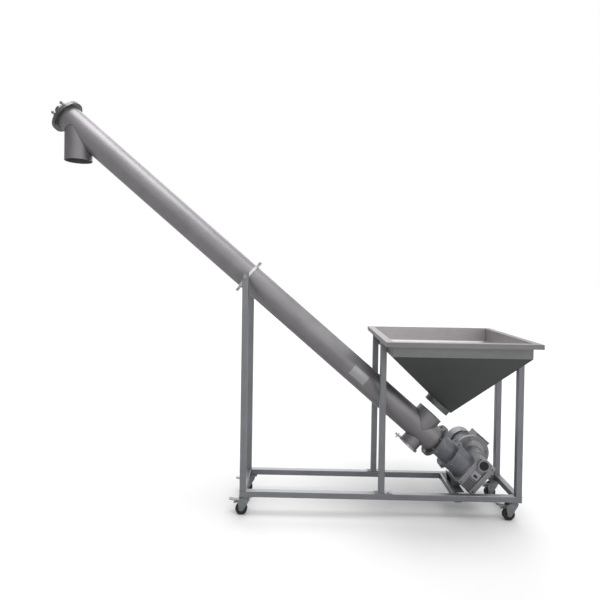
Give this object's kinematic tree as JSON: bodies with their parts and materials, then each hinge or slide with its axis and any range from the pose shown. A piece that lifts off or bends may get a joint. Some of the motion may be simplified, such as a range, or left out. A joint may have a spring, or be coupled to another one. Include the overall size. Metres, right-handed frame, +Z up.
{
  "type": "grain auger",
  "caption": "Inclined tubular screw conveyor with a rectangular feed hopper, worm-gear motor drive and castered square-tube frame.",
  "frame": {"origin": "on the floor, at the centre of the machine's overall length and width", "axes": "+X from the discharge end to the hopper end, +Y to the back, where the motor points, +Z up"},
  "size_m": [3.2902, 0.886, 2.8318],
  "materials": {
    "frame_steel": "satin",
    "cradle_steel": "satin",
    "tube_steel": "brushed",
    "flange_steel": "machined",
    "clamp_steel": "polished",
    "plate_blank": "satin",
    "screw_steel": "brushed",
    "hopper_rim_steel": "brushed",
    "hopper_steel": "brushed",
    "cone_steel": "brushed",
    "drive_casting": "painted grey",
    "gearbox_alloy": "cast",
    "motor_alloy": "cast",
    "motor_cover": "satin",
    "black_plastic": "moulded",
    "seal_rubber": "matte",
    "gear_bronze": "machined",
    "gear_steel": "ground",
    "bolt_steel": "plated",
    "caster_zinc": "zinc plated",
    "pedal_zinc": "zinc plated",
    "caster_tyre": "moulded"
  },
  "bodies": {
    "frame": {"front_rail": "frame_steel", "back_rail": "frame_steel", "end_rails": "frame_steel", "drive_beam": "frame_steel", "left_posts": "frame_steel", "mid_posts": "frame_steel", "right_posts": "frame_steel", "foot_plates": "frame_steel", "drive_cradle": "cradle_steel", "conveyor_tube": "tube_steel", "inlet_spigot": "tube_steel", "discharge_spout": "tube_steel", "cleanout_port": "tube_steel", "saddle": "tube_steel", "cleanout_cap": "tube_steel", "tube_flanges": "flange_steel", "head_cover": "flange_steel", "packing_box": "flange_steel", "packing_gland": "flange_steel", "cleanout_clamp": "clamp_steel", "data_plate": "plate_blank", "hopper_rim": "hopper_rim_steel", "hopper_bin": "hopper_steel", "hopper_cone": "cone_steel", "hopper_outlet": "cone_steel", "drive_adapter": "drive_casting", "output_flange": "drive_casting", "gearbox_housing": "gearbox_alloy", "gearbox_cover": "gearbox_alloy", "input_flange": "gearbox_alloy", "motor_housing": "motor_alloy", "terminal_box": "motor_alloy", "fan_cowl": "motor_cover", "terminal_lid": "motor_cover", "worm_cap": "black_plastic", "cable_gland": "black_plastic", "head_gasket": "seal_rubber", "shaft_seal": "seal_rubber", "flange_bolts": "bolt_steel", "frame_bolts": "bolt_steel", "drive_bolts": "bolt_steel", "caster_plates": "caster_zinc"},
    "auger": {"auger_shaft": "screw_steel", "auger_flight": "screw_steel", "worm_wheel": "gear_bronze"},
    "rotor": {"worm_shaft": "gear_steel", "motor_fan": "black_plastic"},
    "wing_nut": {"cleanout_wing_nut": "clamp_steel"},
    "swivel_left_front": {"fork_left_front": "caster_zinc"},
    "roller_left_front": {"wheel_left_front": "caster_tyre"},
    "brake_left_front": {"pedal_left_front": "pedal_zinc"},
    "swivel_left_back": {"fork_left_back": "caster_zinc"},
    "roller_left_back": {"wheel_left_back": "caster_tyre"},
    "brake_left_back": {"pedal_left_back": "pedal_zinc"},
    "swivel_right_front": {"fork_right_front": "caster_zinc"},
    "roller_right_front": {"wheel_right_front": "caster_tyre"},
    "brake_right_front": {"pedal_right_front": "pedal_zinc"},
    "swivel_right_back": {"fork_right_back": "caster_zinc"},
    "roller_right_back": {"wheel_right_back": "caster_tyre"},
    "brake_right_back": {"pedal_right_back": "pedal_zinc"}
  },
  "joints": [
    {"name": "auger_spin", "type": "hinge", "parent": "frame", "child": "auger", "pos_m": [-0.2264, 0, 1.6085], "axis": [-0.7604, 0, 0.6494], "continuous": true},
    {"name": "rotor_spin", "type": "hinge", "parent": "frame", "child": "rotor", "pos_m": [1.41639, 0, 0.33694], "axis": [0, 1, 0], "continuous": true},
    {"name": "wing_nut_turn", "type": "hinge", "parent": "frame", "child": "wing_nut", "pos_m": [0.83981, -0.018, 0.50718], "axis": [0, -1, 0], "continuous": true},
    {"name": "swivel_turn_left_front", "type": "hinge", "parent": "frame", "child": "swivel_left_front", "pos_m": [-0.2044, -0.165, 0.115], "axis": [0, 0, 1], "continuous": true},
    {"name": "wheel_roll_left_front", "type": "hinge", "parent": "swivel_left_front", "child": "roller_left_front", "pos_m": [-0.2364, -0.165, 0.04], "axis": [0, 1, 0], "continuous": true},
    {"name": "brake_press_left_front", "type": "hinge", "parent": "swivel_left_front", "child": "brake_left_front", "pos_m": [-0.2484, -0.165, 0.094], "axis": [0, -1, 0], "range_deg": [0, 20]},
    {"name": "swivel_turn_left_back", "type": "hinge", "parent": "frame", "child": "swivel_left_back", "pos_m": [-0.2044, 0.165, 0.115], "axis": [0, 0, 1], "continuous": true},
    {"name": "wheel_roll_left_back", "type": "hinge", "parent": "swivel_left_back", "child": "roller_left_back", "pos_m": [-0.2364, 0.165, 0.04], "axis": [0, 1, 0], "continuous": true},
    {"name": "brake_press_left_back", "type": "hinge", "parent": "swivel_left_back", "child": "brake_left_back", "pos_m": [-0.2484, 0.165, 0.094], "axis": [0, -1, 0], "range_deg": [0, 20]},
    {"name": "swivel_turn_right_front", "type": "hinge", "parent": "frame", "child": "swivel_right_front", "pos_m": [1.5966, -0.165, 0.115], "axis": [0, 0, 1], "continuous": true},
    {"name": "wheel_roll_right_front", "type": "hinge", "parent": "swivel_right_front", "child": "roller_right_front", "pos_m": [1.5646, -0.165, 0.04], "axis": [0, 1, 0], "continuous": true},
    {"name": "brake_press_right_front", "type": "hinge", "parent": "swivel_right_front", "child": "brake_right_front", "pos_m": [1.5526, -0.165, 0.094], "axis": [0, -1, 0], "range_deg": [0, 20]},
    {"name": "swivel_turn_right_back", "type": "hinge", "parent": "frame", "child": "swivel_right_back", "pos_m": [1.5966, 0.165, 0.115], "axis": [0, 0, 1], "continuous": true},
    {"name": "wheel_roll_right_back", "type": "hinge", "parent": "swivel_right_back", "child": "roller_right_back", "pos_m": [1.5646, 0.165, 0.04], "axis": [0, 1, 0], "continuous": true},
    {"name": "brake_press_right_back", "type": "hinge", "parent": "swivel_right_back", "child": "brake_right_back", "pos_m": [1.5526, 0.165, 0.094], "axis": [0, -1, 0], "range_deg": [0, 20]}
  ],
  "couplings": [
    {"joint": "rotor_spin", "follows": "auger_spin", "ratio": 10}
  ]
}
